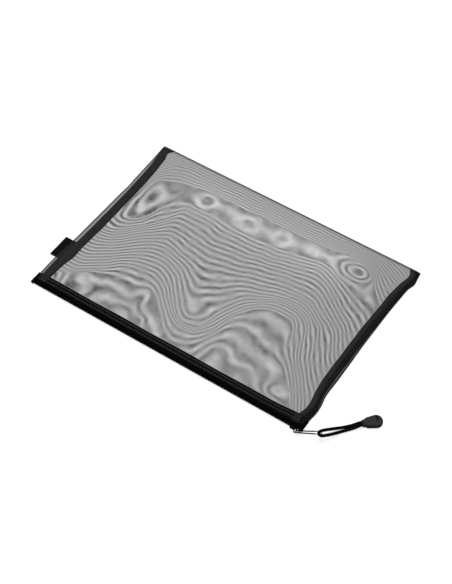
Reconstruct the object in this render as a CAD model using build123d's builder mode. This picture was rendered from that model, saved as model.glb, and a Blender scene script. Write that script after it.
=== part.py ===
from build123d import *
import os
from math import cos, radians, sin, tan

# Mesh document wallet with a zip, in millimetres, lying on its back panel.
# +X runs along the zip, +Y from the zip to the fold, +Z up out of the table.

# Mesh body
wallet_length = 340.0
panel_depth = 234.0
fold_y = 118.0
wallet_height = 5.0
mesh_wall = 0.3
sewn_gap = 0.05

# Side seams
left_allowance = 17.0
right_allowance = 14.5
seam_gap = 0.7
seam_end_clearance = 1.2
left_binding_width = 10.0
right_binding_width = 11.5
binding_thickness = 0.35
binding_fold_share = 0.9

# Zip tapes
tape_thickness = 0.5
tape_overlap = 8.9
tape_exposed = 3.0
tape_bend_radius = 1.4
tape_edge_gap = 0.9
tape_side_clearance = 2.2
left_tape_inset = 0.5
right_tape_overhang = 1.5

# Zip teeth and stops
tooth_pitch = 2.4
tooth_root_width = 1.1
tooth_tip_width = 0.75
tooth_reach = 1.0
tooth_spine = 0.8
tooth_depth = 1.2
tooth_overlap = 0.45
coil_cord_diameter = 0.4
coil_cord_clearance = 0.05
stop_length = 1.8
stop_overhang = 0.6
stop_round = 0.45
stop_gap = 0.45
stop_from_tape_end = 0.8
teeth_from_stop = 0.4

# Slider
slider_length = 9.0
slider_from_stop = 0.4
slider_tail_height = 4.2
slider_shoulder_height = 4.5
slider_nose_height = 3.0
slider_plate = 0.9
slider_clearance = 0.3
slider_flange = 0.45
slider_flange_reach = 0.8
slider_corner = 0.6
slider_edge_round = 0.3
rear_plate_height = 2.0
rear_plate_length = 7.0
rear_plate_gap = 0.35
post_length = 1.4
post_thickness = 0.6
post_from_nose = 1.1

# Bail and link, both of wire; the tip is measured from the wallet's front right corner
wire_sides = 8
bail_wire = 0.8
bail_from_nose = 1.5
bail_reach = 2.1
bail_height = 3.4
bail_corner = 0.7
link_wire = 0.9
link_eye_half_width = 0.95
link_eye_back = 1.05
link_tip_half_height = 2.55
link_corner = 0.8
link_tip = (22.2, 0.5, 9.8)
link_eye_height = 3.0

# Pull cord, one loop from the grip through the link and back, measured from the same corner
cord_diameter = 3.5
cord_sides = 8
cord_arc_share = 0.45
cord_route = [
    (46.54, 37.01, 2.75),
    (44.30, 34.84, 2.60),
    (42.20, 31.70, 2.20),
    (38.60, 27.20, 1.90),
    (33.20, 21.10, 2.15),
    (27.90, 14.90, 4.00),
    (24.00, 9.00, 6.60),
    (21.30, 4.60, 8.50),
    (19.28, 1.09, 9.15),
    (19.71, -1.15, 9.20),
    (21.61, -2.42, 9.30),
    (23.85, -1.99, 9.25),
    (26.20, 0.60, 8.50),
    (29.20, 5.60, 6.40),
    (32.20, 11.50, 3.90),
    (35.90, 18.00, 2.20),
    (40.80, 24.10, 1.95),
    (45.20, 29.45, 3.00),
    (46.73, 32.33, 3.60),
    (48.97, 34.50, 3.75),
]

# Grip at the end of the cord, its neck face measured from the same corner
grip_face = (47.86, 35.86)
grip_heading = 44.0
grip_length = 20.8
grip_width = 13.8
grip_shoulder_width = 11.4
grip_height = 6.5
grip_round = 2.3
neck_length = 0.8
neck_width = 7.4
neck_height = 4.8
neck_round = 1.4
grip_groove_width = 1.1
grip_groove_depth = 0.7
grip_groove_at = 16.2
grip_groove_radius = 6.0
grip_groove_start = -10.0
grip_groove_sweep = 60.0

# Side tab
tab_width = 28.6
tab_centre_y = -66.0
tab_reach = 7.0
tab_tail_reach = 13.0
ribbon_thickness = 0.3
ribbon_slit = 0.3
tab_running_gap = 0.3
tab_seam_clearance = 0.05

# Places worked out from the sizes above
half_length = wallet_length / 2
middle_z = wallet_height / 2
hem_y = fold_y - panel_depth
pull_corner = Vector(half_length, hem_y, 0)
tape_z = wallet_height - mesh_wall - sewn_gap - tape_thickness / 2
left_tape_x = -half_length + left_tape_inset
right_tape_x = half_length + right_tape_overhang
bend_y = hem_y - tape_exposed
tape_inner_y = hem_y + tape_overlap
tape_face_y = bend_y - tape_bend_radius - tape_thickness / 2
teeth_back_y = tape_face_y - sewn_gap
teeth_front_y = teeth_back_y - tooth_depth
tooth_tip_z = middle_z - tooth_overlap
tooth_root_z = tooth_tip_z + tooth_reach
spine_top_z = tooth_root_z + tooth_spine
left_stop_x = left_tape_x + stop_from_tape_end + stop_length / 2
right_stop_x = right_tape_x - stop_from_tape_end - stop_length / 2
nose_x = right_stop_x - stop_length / 2 - slider_from_stop
tail_x = nose_x - slider_length
plate_back_y = teeth_front_y - slider_clearance
plate_front_y = plate_back_y - slider_plate
post_x = nose_x - post_from_nose - post_length / 2
bail_x = nose_x - bail_from_nose
bail_y = plate_front_y - bail_reach
seam_y_low = hem_y
seam_y_high = fold_y - seam_end_clearance
mirror_plane = Plane.XY.offset(middle_z)


def slab(inset: float, front_y: float) -> Part:
    """Closed wallet with round side and fold edges, every face moved in by inset."""
    length = wallet_length - 2 * inset
    height = wallet_height - 2 * inset
    far_y = fold_y - inset
    with BuildPart() as volume:
        with BuildSketch(Plane.XZ.offset(-far_y)):
            with Locations((0, middle_z)):
                SlotOverall(length, height)
        extrude(amount=far_y - front_y)
        with BuildSketch(Plane.YZ.offset(-half_length)):
            with Locations((far_y, middle_z)):
                SlotOverall(2 * panel_depth, height, align=(Align.MAX, Align.CENTER))
        extrude(amount=wallet_length, mode=Mode.INTERSECT)
    return volume.part


def seam_plane(side: int) -> Plane:
    """Section plane of a side seam, its X pointing in from the wallet's edge."""
    middle_y = (seam_y_low + seam_y_high) / 2
    return Plane((side * half_length, middle_y, middle_z), x_dir=(-side, 0, 0), z_dir=(0, side, 0))


# Mesh body: one folded sheet, open along the zip, with its side edges turned in
seam_run = seam_y_high - seam_y_low
pocket = slab(mesh_wall, hem_y - mesh_wall)
with BuildPart() as mesh_body:
    add(slab(0, hem_y))
    add(pocket, mode=Mode.SUBTRACT)
    for side, allowance in ((-1, left_allowance), (1, right_allowance)):
        with BuildSketch(seam_plane(side)):
            with Locations((mesh_wall / 2, 0)):
                seam_height = seam_gap + 2 * mesh_wall
                Rectangle(allowance - mesh_wall / 2, seam_height, align=(Align.MIN, Align.CENTER))
        extrude(amount=seam_run / 2, both=True)
        with BuildSketch(seam_plane(side)):
            with Locations((-mesh_wall, 0)):
                Rectangle(allowance + 2 * mesh_wall, seam_gap, align=(Align.MIN, Align.CENTER))
        extrude(amount=seam_run / 2, both=True, mode=Mode.SUBTRACT)
mesh_body.part.label = "mesh_body"


def seam_binding(side: int, allowance: float, width: float) -> Part:
    """Binding tape folded over the turned-in edges of one side seam."""
    inner_half = seam_gap / 2 + mesh_wall + sewn_gap
    outer_half = inner_half + binding_thickness
    fold = allowance + sewn_gap + binding_thickness
    with BuildPart() as binding:
        with BuildSketch(seam_plane(side)):
            with Locations((fold, 0)):
                Rectangle(width, 2 * outer_half, align=(Align.MAX, Align.CENTER))
            fillet(vertices().group_by(Axis.X)[-1], outer_half * binding_fold_share)
            with Locations((fold - binding_thickness, 0)):
                Rectangle(width, 2 * inner_half, align=(Align.MAX, Align.CENTER), mode=Mode.SUBTRACT)
        extrude(amount=seam_run / 2, both=True)
    return binding.part


with BuildPart() as left_seam_tape:
    add(seam_binding(-1, left_allowance, left_binding_width))
left_seam_tape.part.label = "left_seam_tape"

with BuildPart() as right_seam_tape:
    add(seam_binding(1, right_allowance, right_binding_width))
right_seam_tape.part.label = "right_seam_tape"


def tape_strip(inner_y: float, low_x: float, high_x: float) -> Part:
    """Upper zip tape between two ends, flat under the panel and bent down over the front."""
    half = tape_thickness / 2
    bend_z = tape_z - tape_bend_radius
    edge_z = middle_z + tape_edge_gap / 2
    outer_y = bend_y - tape_bend_radius - half
    inner_face_y = bend_y - tape_bend_radius + half
    with BuildPart() as strip:
        with BuildSketch(Plane.YZ.offset(low_x)):
            with BuildLine():
                Polyline(
                    (bend_y, tape_z - half), (inner_y, tape_z - half),
                    (inner_y, tape_z + half), (bend_y, tape_z + half),
                )
                RadiusArc((bend_y, tape_z + half), (outer_y, bend_z), -tape_bend_radius - half)
                Polyline((outer_y, bend_z), (outer_y, edge_z), (inner_face_y, edge_z), (inner_face_y, bend_z))
                RadiusArc((inner_face_y, bend_z), (bend_y, tape_z - half), tape_bend_radius - half)
            make_face()
        extrude(amount=high_x - low_x)
    return strip.part


# Zip tapes: sewn to the panels, bent over the front edge, with free ends at both sides
tape_panel_half = half_length - tape_side_clearance
with BuildPart() as upper_zip_tape:
    add(tape_strip(tape_inner_y, -tape_panel_half, tape_panel_half))
    add(tape_strip(hem_y - sewn_gap, left_tape_x, right_tape_x))
upper_zip_tape.part.label = "upper_zip_tape"

with BuildPart() as lower_zip_tape:
    mirror(upper_zip_tape.part, about=mirror_plane)
lower_zip_tape.part.label = "lower_zip_tape"

# Teeth: a rack of tapered teeth along each tape, hooking between the teeth of the other row
teeth_start_x = left_stop_x + stop_length / 2 + teeth_from_stop
teeth_end_x = post_x - post_length / 2 - teeth_from_stop
spine_z = (tooth_root_z + spine_top_z) / 2
teeth_y = (teeth_back_y + teeth_front_y) / 2
teeth_run = teeth_end_x - teeth_start_x
tooth_count = int((teeth_run - tooth_root_width) / tooth_pitch)


def teeth_row(first_tooth_x: float) -> Part:
    """Upper row of teeth with a bore for its filler cord."""
    outline = [(teeth_end_x, tooth_root_z), (teeth_end_x, spine_top_z), (teeth_start_x, spine_top_z)]
    outline.append((teeth_start_x, tooth_root_z))
    for tooth in range(tooth_count):
        x = first_tooth_x + tooth * tooth_pitch
        outline.append((x - tooth_root_width / 2, tooth_root_z))
        outline.append((x - tooth_tip_width / 2, tooth_tip_z))
        outline.append((x + tooth_tip_width / 2, tooth_tip_z))
        outline.append((x + tooth_root_width / 2, tooth_root_z))
    with BuildPart() as row:
        with BuildSketch(Plane.XZ.offset(-teeth_back_y)):
            with BuildLine():
                Polyline(*outline, close=True)
            make_face()
        extrude(amount=tooth_depth)
        with BuildSketch(Plane.YZ.offset(teeth_start_x)):
            with Locations((teeth_y, spine_z)):
                Circle(coil_cord_diameter / 2 + coil_cord_clearance)
        extrude(amount=teeth_run, mode=Mode.SUBTRACT)
    return row.part


with BuildPart() as upper_zip_teeth:
    add(teeth_row(teeth_start_x + tooth_pitch / 2))
upper_zip_teeth.part.label = "upper_zip_teeth"

with BuildPart() as lower_zip_teeth:
    mirror(teeth_row(teeth_start_x + tooth_pitch), about=mirror_plane)
lower_zip_teeth.part.label = "lower_zip_teeth"

with BuildPart() as upper_coil_cord:
    with BuildSketch(Plane.YZ.offset(teeth_start_x)):
        with Locations((teeth_y, spine_z)):
            Circle(coil_cord_diameter / 2)
    extrude(amount=teeth_run)
upper_coil_cord.part.label = "upper_coil_cord"

with BuildPart() as lower_coil_cord:
    mirror(upper_coil_cord.part, about=mirror_plane)
lower_coil_cord.part.label = "lower_coil_cord"

# Stops: one across both rows at the left, one on each tape at the right
stop_top_z = spine_top_z + stop_overhang
with BuildPart() as left_zip_stop:
    with BuildSketch(Plane.XZ.offset(-teeth_back_y)):
        with Locations((left_stop_x, middle_z)):
            RectangleRounded(stop_length, 2 * (stop_top_z - middle_z), stop_round)
    extrude(amount=tooth_depth)
left_zip_stop.part.label = "left_zip_stop"

with BuildPart() as right_zip_stops:
    with BuildSketch(Plane.XZ.offset(-teeth_back_y)):
        with Locations((right_stop_x, stop_top_z)):
            stop_run = stop_top_z - middle_z - stop_gap / 2
            RectangleRounded(stop_length, stop_run, stop_round, align=(Align.CENTER, Align.MAX))
    extrude(amount=tooth_depth)
    mirror(about=mirror_plane)
right_zip_stops.part.label = "right_zip_stops"

# Slider: a shouldered front plate with flanges, a rear plate behind the tapes and the post between them
flange_inner = spine_top_z - middle_z + slider_clearance
shoulder_x = post_x - post_length
with BuildPart() as slider_body:
    with BuildSketch(Plane.XZ.offset(-plate_back_y)):
        with BuildLine():
            half_outline = [
                (tail_x, slider_tail_height / 2),
                (shoulder_x, slider_shoulder_height / 2),
                (nose_x, slider_nose_height / 2),
            ]
            lower_outline = [(x, middle_z - half) for x, half in half_outline]
            upper_outline = [(x, middle_z + half) for x, half in reversed(half_outline)]
            Polyline(*lower_outline, *upper_outline, close=True)
        make_face()
        fillet(vertices(), slider_corner)
    extrude(amount=slider_plate)
    front_edges = edges().filter_by(Plane.XZ).group_by(Axis.Y)[0]
    fillet(front_edges, slider_edge_round)
    with BuildSketch(Plane.XZ.offset(-plate_back_y)):
        for direction in (-1, 1):
            flange_z = middle_z + direction * (flange_inner + slider_flange / 2)
            with Locations(((tail_x + shoulder_x) / 2, flange_z)):
                Rectangle(shoulder_x - tail_x - 2 * slider_corner, slider_flange)
    extrude(amount=-slider_flange_reach)
    rear_front_y = tape_face_y + tape_thickness + rear_plate_gap
    with BuildSketch(Plane.XZ.offset(-rear_front_y)):
        with Locations((nose_x - slider_corner, middle_z)):
            RectangleRounded(
                rear_plate_length, rear_plate_height, slider_corner, align=(Align.MAX, Align.CENTER)
            )
    extrude(amount=-slider_plate)
    with BuildSketch(Plane.XZ.offset(-plate_back_y)):
        with Locations((post_x, middle_z)):
            SlotOverall(post_length, post_thickness)
    extrude(amount=plate_back_y - rear_front_y)
slider_body.part.label = "slider_body"

# Bail: a wire staple that stands on the front plate
with BuildPart() as slider_bail:
    bail_low = middle_z - bail_height / 2
    bail_high = middle_z + bail_height / 2
    with BuildLine() as bail_path:
        FilletPolyline(
            (bail_x, plate_front_y, bail_low),
            (bail_x, bail_y, bail_low),
            (bail_x, bail_y, bail_high),
            (bail_x, plate_front_y, bail_high),
            radius=bail_corner,
        )
    with BuildSketch(Plane((bail_x, plate_front_y, bail_low), z_dir=(0, -1, 0))):
        RegularPolygon(bail_wire / 2, wire_sides)
    sweep(path=bail_path.line)
slider_bail.part.label = "slider_bail"

# Link: a wire loop round the bail, flat at the bail and turned upright where it holds the cord
link_eye = Vector(bail_x, bail_y, link_eye_height)
link_end = pull_corner + Vector(*link_tip)
link_along = (link_end - link_eye).normalized()
link_across = Vector(-link_along.Y, link_along.X, 0).normalized()
link_up = link_along.cross(link_across)
eye_back = link_eye - link_along * link_eye_back
eye_inner = eye_back + link_across * link_eye_half_width
eye_outer = eye_back - link_across * link_eye_half_width
tip_low = link_end - link_up * link_tip_half_height
tip_high = link_end + link_up * link_tip_half_height
eye_middle = (eye_inner + eye_outer) / 2
with BuildPart() as pull_link:
    for tip_corner, eye_corner in ((tip_high, eye_inner), (tip_low, eye_outer)):
        with BuildLine() as link_path:
            FilletPolyline(link_end, tip_corner, eye_corner, eye_middle, radius=link_corner)
        with BuildSketch(Plane(link_end, z_dir=tip_corner - link_end)):
            RegularPolygon(link_wire / 2, wire_sides)
        sweep(path=link_path.line)
pull_link.part.label = "pull_link"

# Cord: straight runs joined by arcs as large as the runs allow
route = [pull_corner + Vector(*point) for point in cord_route]
runs = [end - start for start, end in zip(route, route[1:])]
cord_radii = []
for before, after in zip(runs, runs[1:]):
    half_turn = radians(before.get_angle(after)) / 2
    cord_radii.append(cord_arc_share * min(before.length, after.length) / tan(half_turn))
with BuildPart() as pull_cord:
    with BuildLine() as cord_path:
        FilletPolyline(*route, radius=cord_radii)
    with BuildSketch(Plane(route[0], z_dir=runs[0])):
        cord_section = RegularPolygon(cord_diameter / 2, cord_sides)
    sweep(path=cord_path.line)
pull_cord.part.label = "pull_cord"

# Grip: a flat moulded drop with a neck for the cord and a curved groove near its end
grip_axis = Vector(cos(radians(grip_heading)), sin(radians(grip_heading)), 0)
grip_origin = pull_corner + Vector(*grip_face, grip_height / 2)
grip_plane = Plane(grip_origin, x_dir=grip_axis, z_dir=(0, 0, 1))
with BuildPart() as pull_grip:
    with BuildSketch(grip_plane):
        with Locations((neck_length + grip_shoulder_width / 2, 0)):
            Circle(grip_shoulder_width / 2)
        with Locations((grip_length - grip_width / 2, 0)):
            Circle(grip_width / 2)
        make_hull()
    extrude(amount=grip_height / 2, both=True)
    rim = edges().filter_by(lambda edge: abs(edge.center().Z - grip_height / 2) > grip_height / 4)
    fillet(rim, grip_round)
    with BuildSketch(Plane(grip_plane.origin, x_dir=grip_plane.y_dir, z_dir=grip_axis)):
        RectangleRounded(neck_width, neck_height, neck_round)
    extrude(amount=neck_length + neck_width / 2)
    with BuildSketch(grip_plane.offset(grip_height / 2)):
        with BuildLine():
            groove_centre = (grip_groove_at - grip_groove_radius, 0)
            groove = CenterArc(
                groove_centre, grip_groove_radius, grip_groove_start, grip_groove_sweep, mode=Mode.PRIVATE
            )
        SlotArc(groove, grip_groove_width)
    extrude(amount=-grip_groove_depth, mode=Mode.SUBTRACT)
pull_grip.part.label = "pull_grip"

# Side tab: a folded ribbon, its ends sewn into the left seam and its loop free to flap
tab_thickness = 2 * ribbon_thickness + ribbon_slit
tab_hinge_x = -half_length - tab_running_gap - tab_thickness / 2
tab_plane = Plane((tab_hinge_x, tab_centre_y, middle_z), x_dir=(-1, 0, 0), z_dir=(0, 1, 0))
with BuildPart() as side_tab:
    tab_run = tab_reach - tab_running_gap
    with BuildSketch(tab_plane):
        with Locations((-tab_thickness / 2, 0)):
            SlotOverall(tab_run, tab_thickness, align=(Align.MIN, Align.CENTER))
        with Locations((tab_thickness / 2, 0)):
            slit_run = tab_run - tab_thickness - ribbon_thickness
            SlotOverall(slit_run, ribbon_slit, align=(Align.MIN, Align.CENTER), mode=Mode.SUBTRACT)
    extrude(amount=tab_width / 2, both=True)
side_tab.part.label = "side_tab"

with BuildPart() as tab_tail:
    with BuildSketch(Plane((-half_length, tab_centre_y, middle_z), x_dir=(1, 0, 0), z_dir=(0, -1, 0))):
        Rectangle(tab_tail_reach, seam_gap - 2 * tab_seam_clearance, align=(Align.MIN, Align.CENTER))
    extrude(amount=tab_width / 2, both=True)
tab_tail.part.label = "tab_tail"

# Write every piece to its own file
os.makedirs("parts", exist_ok=True)
pieces = [
    mesh_body, left_seam_tape, right_seam_tape, upper_zip_tape, lower_zip_tape,
    upper_zip_teeth, lower_zip_teeth, upper_coil_cord, lower_coil_cord,
    left_zip_stop, right_zip_stops, slider_body, slider_bail, pull_link,
    pull_cord, pull_grip, side_tab, tab_tail,
]
for piece in pieces:
    export_step(piece.part, f"parts/{piece.part.label}.step")

cord_length = cord_path.wire().length
print("cord radii", [round(radius, 1) for radius in cord_radii])
print("cord length", round(cord_length, 1))
print("cord section times length", round(cord_length * cord_section.area, 1))
print("cord volume", round(pull_cord.part.volume, 1))
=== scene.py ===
import logging
import math
from dataclasses import dataclass
from enum import Enum
from functools import cache
from typing import Any

import bpy
import numpy as np
from mathutils import Matrix


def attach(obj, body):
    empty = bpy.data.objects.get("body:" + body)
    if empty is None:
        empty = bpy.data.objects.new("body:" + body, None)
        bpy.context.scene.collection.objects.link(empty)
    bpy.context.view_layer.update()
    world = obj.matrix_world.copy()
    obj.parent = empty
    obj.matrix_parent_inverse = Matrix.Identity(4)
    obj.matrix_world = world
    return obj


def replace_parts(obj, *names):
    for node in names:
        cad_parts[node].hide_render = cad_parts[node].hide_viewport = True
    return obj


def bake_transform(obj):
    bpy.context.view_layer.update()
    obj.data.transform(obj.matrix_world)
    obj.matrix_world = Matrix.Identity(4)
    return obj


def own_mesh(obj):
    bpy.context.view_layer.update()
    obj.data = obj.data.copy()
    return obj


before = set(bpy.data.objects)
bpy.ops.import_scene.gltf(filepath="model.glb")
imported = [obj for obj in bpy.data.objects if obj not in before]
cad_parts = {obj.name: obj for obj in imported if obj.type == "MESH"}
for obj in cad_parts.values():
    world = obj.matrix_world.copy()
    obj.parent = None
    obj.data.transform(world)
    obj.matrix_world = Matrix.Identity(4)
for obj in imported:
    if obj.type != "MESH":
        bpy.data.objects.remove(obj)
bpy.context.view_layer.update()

LOG = logging.getLogger("wallet")

Array = np.ndarray
Node = bpy.types.Node
Outputs = bpy.types.bpy_prop_collection
Piece = bpy.types.Object
Socket = bpy.types.NodeSocket
Tree = bpy.types.NodeTree
Pair = tuple[float, float]
Triple = tuple[float, float, float]
Values = float | np.ndarray

MM = 0.001
TURN = 2.0 * math.pi
LEAST_LENGTH = 1e-12
NOISE_MEAN = 0.5
FLOAT_SOCKET = "NodeSocketFloat"
X_AXIS = np.array([1.0, 0.0, 0.0])
Z_AXIS = np.array([0.0, 0.0, 1.0])

# Sizes that several pieces share, in millimetres
HALF_LENGTH = 170.0
HEM_Y = -116.0
FOLD_Y = 118.0
MIDDLE_Z = 2.5
SHOULDER = 7.0
TAPE_RISE_X = (125.0, 160.0)


class Labelled(Enum):
    """Choice whose label is part of the names of pieces."""

    @property
    def label(self) -> str:
        """Name in small letters."""
        return self.name.lower()


class Side(Labelled):
    """Side of the wallet, as the sign of X."""

    LEFT = -1
    RIGHT = 1


class Row(Labelled):
    """Upper or lower half of the zip, as the sign of Z from the middle."""

    UPPER = 1
    LOWER = -1


# Arrays and meshes


def smoothstep(value: Array, low: Values, high: Values) -> Array:
    """Rise from 0 at low to 1 at high along the cubic 3t^2 - 2t^3; high may lie below low."""
    share = np.clip((value - low) / (high - low), 0.0, 1.0)
    return share * share * (3.0 - 2.0 * share)


def soft_ramp(value: Array, softness: float) -> Array:
    """Half the sum of value and the root of its square plus softness squared: a ramp with a soft start."""
    return 0.5 * (value + np.sqrt(value * value + softness * softness))


def hump(x: Array, middle: float, spread: float) -> Array:
    """Bell-shaped hump of height 1: exp(-d^2) of the distance from its middle in spreads."""
    return np.exp(-(((x - middle) / spread) ** 2))


def wander(along: Array, height: float, length: float) -> Array:
    """Slight wave of a sewn line: height times the sine of the place along it over a length."""
    return height * np.sin(along / length)


def unit(vectors: Array) -> Array:
    """Each vector divided by its length."""
    return vectors / np.maximum(np.linalg.norm(vectors, axis=-1, keepdims=True), LEAST_LENGTH)


def stacked(*parts: Values) -> Array:
    """Coordinates spread over one common grid and put together as its last axis."""
    return np.stack(np.broadcast_arrays(*parts), axis=-1)


def run_along(points: Array) -> Array:
    """Length along a line, from its first point to each of its points."""
    return np.concatenate([[0.0], np.cumsum(np.linalg.norm(np.diff(points, axis=0), axis=1))])


def half_turn(count: int) -> Array:
    """Angles from straight up to straight down."""
    return np.linspace(math.pi / 2, -math.pi / 2, count)


def grid_quads(rows: int, columns: int, closed: bool = False) -> Array:
    """Quads of a grid of points, wound along the rows and then the columns.

    Args:
        rows: Number of rows of points.
        columns: Number of points in a row.
        closed: Whether the last column joins the first.

    Returns:
        Four point numbers for each quad.
    """
    row = np.arange(rows - 1)[:, None] * columns
    column = np.arange(columns if closed else columns - 1)[None, :]
    after = (column + 1) % columns
    return stacked(row + column, row + columns + column, row + columns + after, row + after).reshape(-1, 4)


def rod(path: Array, across: Array, radius: Values, sides: int) -> tuple[Array, Array]:
    """Carry a ring along a path, in the plane square to it, and close both ends at their middle.

    Args:
        path: Points of the centre line, rows by 3.
        across: Direction that is never along the path.
        radius: Radius of each point, broadcast to rows by sides.
        sides: Points of a ring.

    Returns:
        Points and faces, the end caps as quads with a doubled corner.
    """
    rows = len(path)
    along = unit(np.gradient(path, axis=0))
    first = unit(np.cross(across, along))
    second = np.cross(along, first)
    angle = np.linspace(0.0, TURN, sides, endpoint=False)[None, :, None]
    ring = first[:, None, :] * np.cos(angle) + second[:, None, :] * np.sin(angle)
    rings = path[:, None, :] + ring * np.broadcast_to(radius, (rows, sides))[:, :, None]
    points = np.concatenate([rings.reshape(-1, 3), rings[:1].mean(axis=1), rings[-1:].mean(axis=1)])
    side = np.arange(sides)
    after = (side + 1) % sides
    last = (rows - 1) * sides
    low = stacked(rows * sides, side, after, after)
    high = stacked(rows * sides + 1, last + after, last + side, last + side)
    return points, np.concatenate([grid_quads(rows, sides, closed=True), low, high])


def add_object(name: str, data: Any) -> Piece:
    """Make an object at the origin and link it to the scene.

    Args:
        name: Name of the object.
        data: Its mesh, curve, lamp or camera.

    Returns:
        The new object.
    """
    made = bpy.data.objects.new(name, data)
    bpy.context.scene.collection.objects.link(made)
    return made


@dataclass
class Surface:
    """Points in millimetres, faces and what the finish reads on them."""

    name: str
    points: Array
    faces: Array
    weave: Array | None = None
    marks: dict[str, Array] | None = None

    @classmethod
    def cloth(cls, name: str, middle: Array, thickness: float, weave: Array, **marks: Array) -> "Surface":
        """Close a sheet: its middle surface moved half the thickness both ways, walled round the border.

        Args:
            name: Name of the piece.
            middle: Middle surface, rows by columns by 3, its outside along the product of row and column.
            thickness: Thickness of the cloth.
            weave: Place on the flat cloth of each point of the middle surface.
            **marks: Values for the finish at each point of the middle surface.

        Returns:
            The closed sheet, its outer face first.
        """
        rows, columns = middle.shape[:2]
        half = unit(np.cross(np.gradient(middle, axis=0), np.gradient(middle, axis=1))) * thickness / 2
        points = np.stack([middle + half, middle - half]).reshape(-1, 3)
        outer = grid_quads(rows, columns)
        under = rows * columns
        index = np.arange(under).reshape(rows, columns)
        border = np.concatenate([index[0, :], index[1:, -1], index[-1, -2::-1], index[-2::-1, 0]])
        start, end = border[:-1], border[1:]
        wall = stacked(start, end, end + under, start + under)
        faces = np.concatenate([outer, outer[:, ::-1] + under, wall])
        both = {mark: np.tile(values.ravel(), 2) for mark, values in marks.items()}
        return cls(name, points, faces, np.tile(weave.reshape(-1, 2), (2, 1)), both)

    def to_object(self, finish: "Finish") -> Piece:
        """Make the smooth mesh object with its weave map, its marks and its material.

        Args:
            finish: Finish that makes the material.

        Returns:
            The new object, linked to the scene.
        """
        mesh = bpy.data.meshes.new(self.name)
        doubled = self.faces[:, 2] == self.faces[:, 3]
        faces = self.faces[~doubled].tolist() + self.faces[doubled, :3].tolist()
        mesh.from_pydata((self.points * MM).tolist(), [], faces)
        if self.weave is not None:
            corner = np.empty(len(mesh.loops), dtype=np.int32)
            mesh.loops.foreach_get("vertex_index", corner)
            layer = mesh.uv_layers.new(name="weave")
            layer.data.foreach_set("uv", self.weave[corner].astype(np.float32).ravel())
        for name, values in (self.marks or {}).items():
            mark = mesh.attributes.new(name, "FLOAT", "POINT")
            mark.data.foreach_set("value", values.astype(np.float32).ravel())
        mesh.polygons.foreach_set("use_smooth", np.ones(len(mesh.polygons), dtype=bool))
        mesh.validate()
        mesh.materials.append(finish.material())
        return add_object(self.name, mesh)


# Shader nodes


def grey(level: float) -> tuple[float, float, float, float]:
    """Neutral colour of one level."""
    return (level, level, level, 1.0)


@dataclass
class Nodes:
    """Shader nodes of one tree; most methods add a node and give its result."""

    tree: Tree

    def join(self, socket: Socket, value: Any) -> None:
        """Link a socket to another one, or set it to a number or colour.

        Args:
            socket: Input that gets the value.
            value: Socket, number or colour.
        """
        if isinstance(value, Socket):
            self.tree.links.new(value, socket)
        else:
            socket.default_value = value

    def add(self, kind: str, inputs: dict[Any, Any] | None = None, **settings: Any) -> Outputs:
        """Add a node with its settings and inputs.

        Args:
            kind: Type of the node.
            inputs: Sockets or values by the name or number of the input.
            **settings: Properties of the node.

        Returns:
            The node's outputs.
        """
        node = self.tree.nodes.new(kind)
        for key, value in settings.items():
            setattr(node, key, value)
        for key, value in (inputs or {}).items():
            self.join(node.inputs[key], value)
        return node.outputs

    def calc(self, operation: str, *values: Any) -> Socket:
        """Work out a Math operation on sockets or numbers."""
        return self.add("ShaderNodeMath", dict(enumerate(values)), operation=operation)[0]

    def vector(self, operation: str, *values: Any) -> Outputs:
        """Work out a Vector Math operation and give the node's outputs."""
        return self.add("ShaderNodeVectorMath", dict(enumerate(values)), operation=operation)

    def scaled(self, colour: Any, shade: Any) -> Socket:
        """Multiply a colour by a shade."""
        levels = colour if isinstance(colour, Socket) else colour[:3]
        return self.add("ShaderNodeVectorMath", {0: levels, "Scale": shade}, operation="SCALE")[0]

    def mix(self, share: Any, first: Any, second: Any) -> Socket:
        """Blend two colours: the first at a share of 0, the second at 1."""
        return self.add("ShaderNodeMix", {0: share, 6: first, 7: second}, data_type="RGBA")[2]

    def ramp(self, value: Socket, source: Pair, target: Pair) -> Socket:
        """Carry a value from the source range over to the target range and stop at its ends."""
        names = ("Value", "From Min", "From Max", "To Min", "To Max")
        return self.add("ShaderNodeMapRange", dict(zip(names, (value, *source, *target))))[0]

    def noise(self, place: Socket, scale: Any, detail: float) -> Socket:
        """Noise between 0 and 1."""
        return self.add("ShaderNodeTexNoise", {"Vector": place, "Scale": scale, "Detail": detail})[0]

    def read(self, mark: str) -> Socket:
        """Value that the piece itself carries under a name."""
        return self.add("ShaderNodeAttribute", attribute_name=mark)["Fac"]

    def place(self) -> Socket:
        """Place in the piece's own frame, in metres."""
        return self.add("ShaderNodeTexCoord")["Object"]

    def cloth_place(self) -> Socket:
        """Place on the flat cloth, in millimetres."""
        return self.add("ShaderNodeUVMap", uv_map="weave")[0]

    def weave(self, warp_pitch: float, weft_pitch: float) -> Outputs:
        """Place the weave group on the cloth and give its outputs."""
        inputs = {"Vector": self.cloth_place(), "Warp Pitch": warp_pitch, "Weft Pitch": weft_pitch}
        return self.add("ShaderNodeGroup", inputs, node_tree=weave_group())

    def emboss(self, shader: Node, height: Socket, strength: float, relief: float) -> None:
        """Raise the shader's surface by a height, up to a relief in millimetres."""
        inputs = {"Height": height, "Strength": strength, "Distance": relief * MM}
        self.join(shader.inputs["Normal"], self.add("ShaderNodeBump", inputs)[0])


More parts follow.
